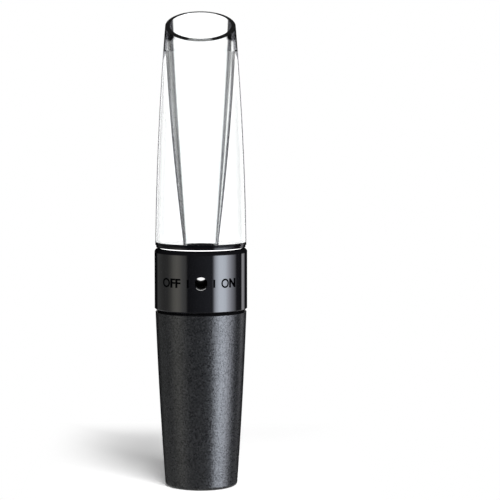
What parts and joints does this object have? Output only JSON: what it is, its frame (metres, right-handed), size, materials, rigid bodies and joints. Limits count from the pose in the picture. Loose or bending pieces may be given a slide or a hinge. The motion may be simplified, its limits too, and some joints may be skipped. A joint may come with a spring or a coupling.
{
  "type": "wine aerator pourer",
  "caption": "Bottle-top wine aerator: tapered rubber stopper, twist ring that opens air ports in a venturi body, and a clear double-walled spout with a slanted mouth.",
  "frame": {"origin": "centre of the stopper's small end, which the pourer stands on", "axes": "+Z along the axis from the bottle end to the mouth; the front air hole and the low side of the mouth face -Y"},
  "size_m": [0.0222, 0.0222, 0.1137],
  "materials": {
    "stopper_rubber": "fine matte grain",
    "matte_black_plastic": "moulded, satin",
    "steel_tube": "drawn tube",
    "seal_rubber": "smooth",
    "gloss_black_plastic": "polished",
    "clear_acrylic": "clear, polished"
  },
  "bodies": {
    "body": {"stopper": "stopper_rubber", "venturi_body": "matte_black_plastic", "vent_tube": "steel_tube", "lower_ring_seal": "seal_rubber", "upper_ring_seal": "seal_rubber", "nozzle_seal": "seal_rubber", "nozzle_collar": "gloss_black_plastic", "spout_seal": "seal_rubber", "diffuser_funnel": "clear_acrylic", "spout_shell": "clear_acrylic"},
    "ring": {"control_ring": "gloss_black_plastic"}
  },
  "joints": [
    {"name": "ring_twist", "type": "hinge", "parent": "body", "child": "ring", "pos_m": [0, 0, 0.05], "axis": [0, 0, 1], "range_deg": [0, 36]}
  ]
}
